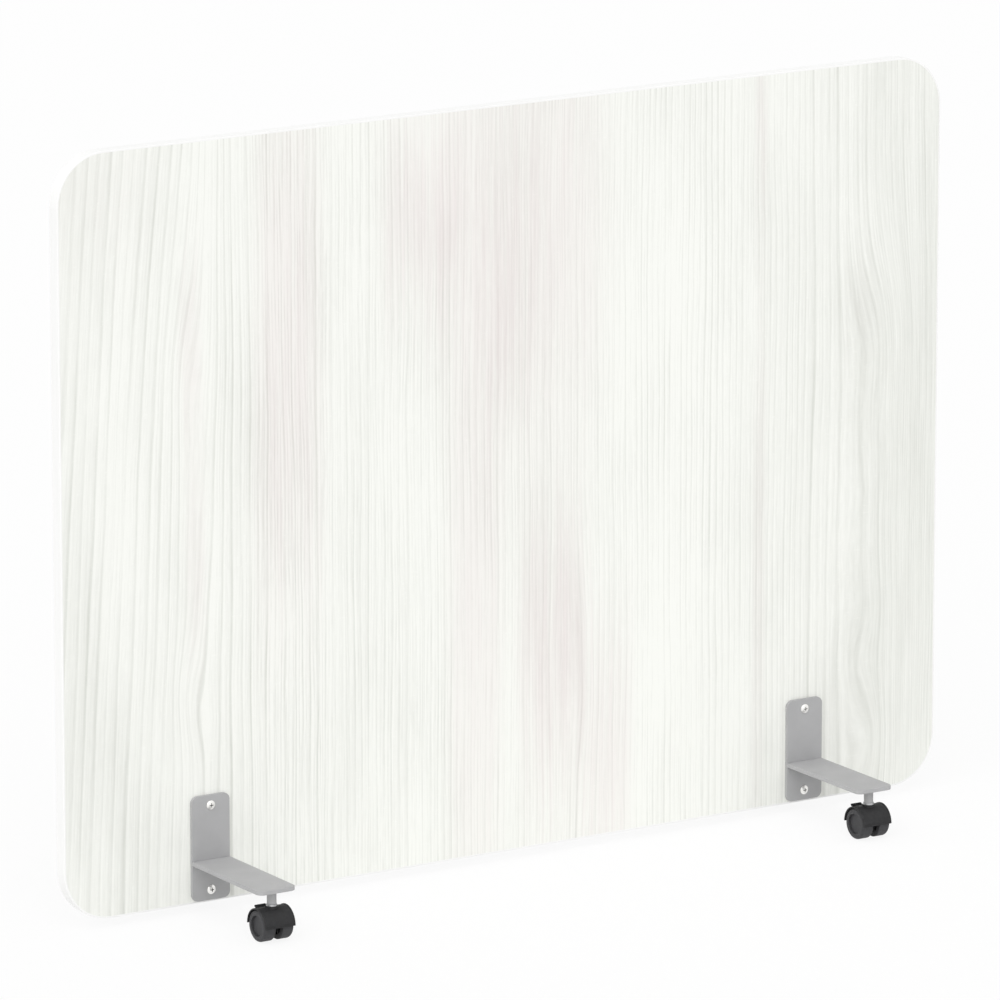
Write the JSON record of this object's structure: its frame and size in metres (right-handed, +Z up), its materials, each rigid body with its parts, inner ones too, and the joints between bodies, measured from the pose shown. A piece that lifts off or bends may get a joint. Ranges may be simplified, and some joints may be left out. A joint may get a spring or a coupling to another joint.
{
  "type": "rolling partition",
  "caption": "Low rolling partition: an upright wood-grain board with rounded corners on flat steel feet with hooded, braked twin-wheel swivel casters.",
  "frame": {"origin": "on the floor below the middle of the board", "axes": "+X along the board, +Y through its thickness towards the rear, +Z up"},
  "size_m": [1.2, 0.3356, 0.9],
  "materials": {
    "board_face": "whitewashed wood-grain melamine, fine upright grain, matt",
    "edge_band": "white plastic edge band, satin",
    "grey_paint": "light grey powder coat, satin",
    "nickel": "nickel plated, bright",
    "zinc": "zinc plated steel, dull",
    "hood_nylon": "black-grey moulded nylon, fine texture",
    "wheel_nylon": "dark grey moulded nylon, matt"
  },
  "bodies": {
    "frame": {"board": "board_face", "edge_band": "edge_band", "screws": "nickel", "sleeve_nuts": "nickel", "front_left_plate": "grey_paint", "front_left_arm": "grey_paint", "front_left_boss": "grey_paint", "front_left_stem": "zinc", "front_right_plate": "grey_paint", "front_right_arm": "grey_paint", "front_right_boss": "grey_paint", "front_right_stem": "zinc", "rear_left_plate": "grey_paint", "rear_left_arm": "grey_paint", "rear_left_boss": "grey_paint", "rear_left_stem": "zinc", "rear_right_plate": "grey_paint", "rear_right_arm": "grey_paint", "rear_right_boss": "grey_paint", "rear_right_stem": "zinc"},
    "front_left_caster": {"front_left_hood": "hood_nylon", "front_left_axle": "zinc"},
    "front_left_wheel_l_body": {"front_left_wheel_l": "wheel_nylon"},
    "front_left_wheel_r_body": {"front_left_wheel_r": "wheel_nylon"},
    "front_left_brake_body": {"front_left_brake_lever": "hood_nylon"},
    "front_right_caster": {"front_right_hood": "hood_nylon", "front_right_axle": "zinc"},
    "front_right_wheel_l_body": {"front_right_wheel_l": "wheel_nylon"},
    "front_right_wheel_r_body": {"front_right_wheel_r": "wheel_nylon"},
    "front_right_brake_body": {"front_right_brake_lever": "hood_nylon"},
    "rear_left_caster": {"rear_left_hood": "hood_nylon", "rear_left_axle": "zinc"},
    "rear_left_wheel_l_body": {"rear_left_wheel_l": "wheel_nylon"},
    "rear_left_wheel_r_body": {"rear_left_wheel_r": "wheel_nylon"},
    "rear_left_brake_body": {"rear_left_brake_lever": "hood_nylon"},
    "rear_right_caster": {"rear_right_hood": "hood_nylon", "rear_right_axle": "zinc"},
    "rear_right_wheel_l_body": {"rear_right_wheel_l": "wheel_nylon"},
    "rear_right_wheel_r_body": {"rear_right_wheel_r": "wheel_nylon"},
    "rear_right_brake_body": {"rear_right_brake_lever": "hood_nylon"}
  },
  "joints": [
    {"name": "front_left_swivel", "type": "hinge", "parent": "frame", "child": "front_left_caster", "pos_m": [-0.41, -0.148, 0.05], "axis": [0, 0, 1], "continuous": true},
    {"name": "front_left_roll_l", "type": "hinge", "parent": "front_left_caster", "child": "front_left_wheel_l_body", "pos_m": [-0.42175, -0.147, 0.0185], "axis": [1, 0, 0], "continuous": true},
    {"name": "front_left_roll_r", "type": "hinge", "parent": "front_left_caster", "child": "front_left_wheel_r_body", "pos_m": [-0.39825, -0.147, 0.0185], "axis": [1, 0, 0], "continuous": true},
    {"name": "front_left_brake", "type": "hinge", "parent": "front_left_caster", "child": "front_left_brake_body", "pos_m": [-0.41, -0.12873, 0.03129], "axis": [-1, 0, 0], "range_deg": [0, 25]},
    {"name": "front_right_swivel", "type": "hinge", "parent": "frame", "child": "front_right_caster", "pos_m": [0.41, -0.148, 0.05], "axis": [0, 0, 1], "continuous": true},
    {"name": "front_right_roll_l", "type": "hinge", "parent": "front_right_caster", "child": "front_right_wheel_l_body", "pos_m": [0.39825, -0.147, 0.0185], "axis": [1, 0, 0], "continuous": true},
    {"name": "front_right_roll_r", "type": "hinge", "parent": "front_right_caster", "child": "front_right_wheel_r_body", "pos_m": [0.42175, -0.147, 0.0185], "axis": [1, 0, 0], "continuous": true},
    {"name": "front_right_brake", "type": "hinge", "parent": "front_right_caster", "child": "front_right_brake_body", "pos_m": [0.41, -0.12873, 0.03129], "axis": [-1, 0, 0], "range_deg": [0, 25]},
    {"name": "rear_left_swivel", "type": "hinge", "parent": "frame", "child": "rear_left_caster", "pos_m": [-0.41, 0.148, 0.05], "axis": [0, 0, 1], "continuous": true},
    {"name": "rear_left_roll_l", "type": "hinge", "parent": "rear_left_caster", "child": "rear_left_wheel_l_body", "pos_m": [-0.42175, 0.147, 0.0185], "axis": [1, 0, 0], "continuous": true},
    {"name": "rear_left_roll_r", "type": "hinge", "parent": "rear_left_caster", "child": "rear_left_wheel_r_body", "pos_m": [-0.39825, 0.147, 0.0185], "axis": [1, 0, 0], "continuous": true},
    {"name": "rear_left_brake", "type": "hinge", "parent": "rear_left_caster", "child": "rear_left_brake_body", "pos_m": [-0.41, 0.12873, 0.03129], "axis": [1, 0, 0], "range_deg": [0, 25]},
    {"name": "rear_right_swivel", "type": "hinge", "parent": "frame", "child": "rear_right_caster", "pos_m": [0.41, 0.148, 0.05], "axis": [0, 0, 1], "continuous": true},
    {"name": "rear_right_roll_l", "type": "hinge", "parent": "rear_right_caster", "child": "rear_right_wheel_l_body", "pos_m": [0.39825, 0.147, 0.0185], "axis": [1, 0, 0], "continuous": true},
    {"name": "rear_right_roll_r", "type": "hinge", "parent": "rear_right_caster", "child": "rear_right_wheel_r_body", "pos_m": [0.42175, 0.147, 0.0185], "axis": [1, 0, 0], "continuous": true},
    {"name": "rear_right_brake", "type": "hinge", "parent": "rear_right_caster", "child": "rear_right_brake_body", "pos_m": [0.41, 0.12873, 0.03129], "axis": [1, 0, 0], "range_deg": [0, 25]}
  ]
}
